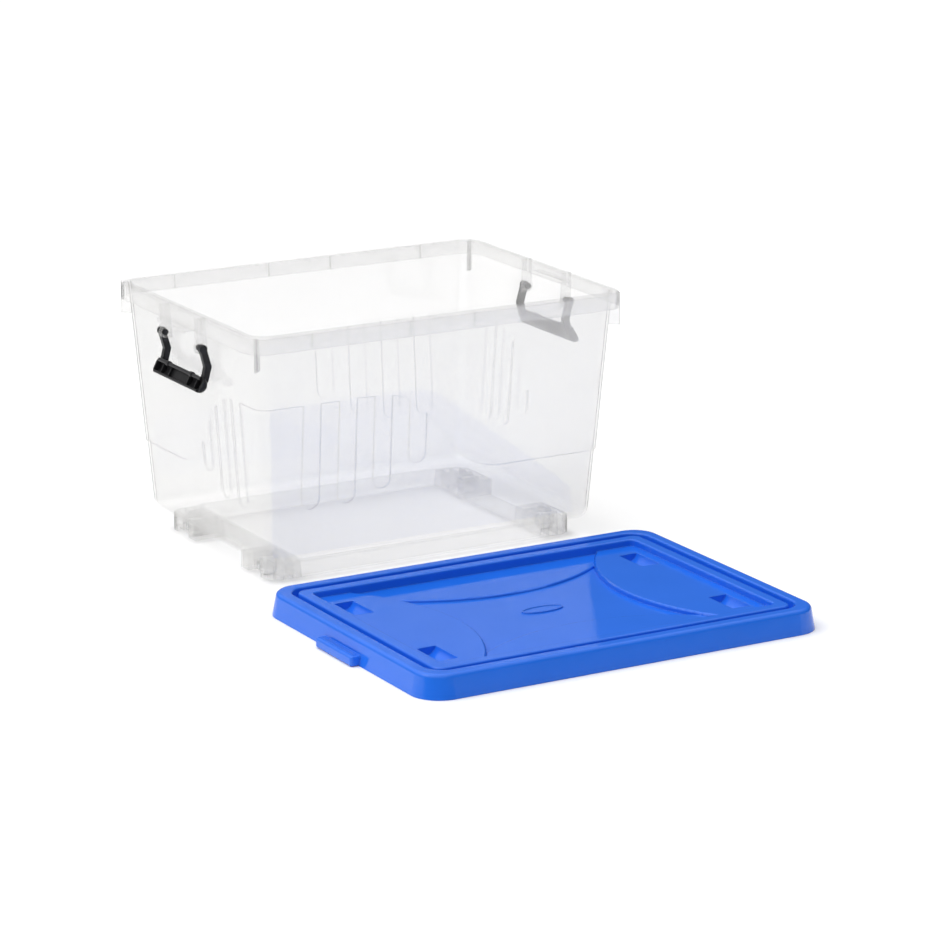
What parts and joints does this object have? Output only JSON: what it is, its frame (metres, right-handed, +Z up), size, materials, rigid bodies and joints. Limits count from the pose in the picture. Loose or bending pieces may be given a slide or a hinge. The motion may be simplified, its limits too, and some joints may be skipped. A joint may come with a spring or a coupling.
{
  "type": "wheeled storage tub",
  "caption": "Clear open-topped storage tub with sloping walls, corner wheels and swinging latch handles, and its rounded blue lid lying beside it.",
  "frame": {"origin": "on the ground, in the middle of the set's bounding box", "axes": "+Z up, +X along the tub's long side towards its right end, +Y from the lid towards the tub"},
  "size_m": [0.627, 0.924, 0.358],
  "materials": {
    "clear_plastic": "clear, slightly milky, glossy",
    "blue_plastic": "glossy",
    "black_plastic": "satin",
    "white_plastic": "satin, off-white"
  },
  "bodies": {
    "tub": {"tub": "clear_plastic", "housing_front_left": "clear_plastic", "housing_front_right": "clear_plastic", "housing_back_left": "clear_plastic", "housing_back_right": "clear_plastic", "axle_front_left": "white_plastic", "axle_front_right": "white_plastic", "axle_back_left": "white_plastic", "axle_back_right": "white_plastic"},
    "lid": {"lid": "blue_plastic"},
    "handle_left": {"handle_left": "black_plastic"},
    "handle_right": {"handle_right": "black_plastic"},
    "wheel_front_left": {"wheel_front_left": "white_plastic"},
    "wheel_front_right": {"wheel_front_right": "white_plastic"},
    "wheel_back_left": {"wheel_back_left": "white_plastic"},
    "wheel_back_right": {"wheel_back_right": "white_plastic"}
  },
  "joints": [
    {"name": "lid_lift", "type": "slide", "parent": "tub", "child": "lid", "axis": [0, 0, 1], "range_m": [0, 0.34]},
    {"name": "handle_left_swing", "type": "hinge", "parent": "tub", "child": "handle_left", "pos_m": [-0.2867, 0.246, 0.315], "axis": [0, 1, 0], "range_deg": [0, 160]},
    {"name": "handle_right_swing", "type": "hinge", "parent": "tub", "child": "handle_right", "pos_m": [0.2957, 0.246, 0.315], "axis": [0, -1, 0], "range_deg": [0, 160]},
    {"name": "wheel_front_left_spin", "type": "hinge", "parent": "tub", "child": "wheel_front_left", "pos_m": [-0.2175, 0.135, 0.012], "axis": [1, 0, 0], "continuous": true},
    {"name": "wheel_front_right_spin", "type": "hinge", "parent": "tub", "child": "wheel_front_right", "pos_m": [0.2265, 0.135, 0.012], "axis": [1, 0, 0], "continuous": true},
    {"name": "wheel_back_left_spin", "type": "hinge", "parent": "tub", "child": "wheel_back_left", "pos_m": [-0.2175, 0.357, 0.012], "axis": [1, 0, 0], "continuous": true},
    {"name": "wheel_back_right_spin", "type": "hinge", "parent": "tub", "child": "wheel_back_right", "pos_m": [0.2265, 0.357, 0.012], "axis": [1, 0, 0], "continuous": true}
  ]
}
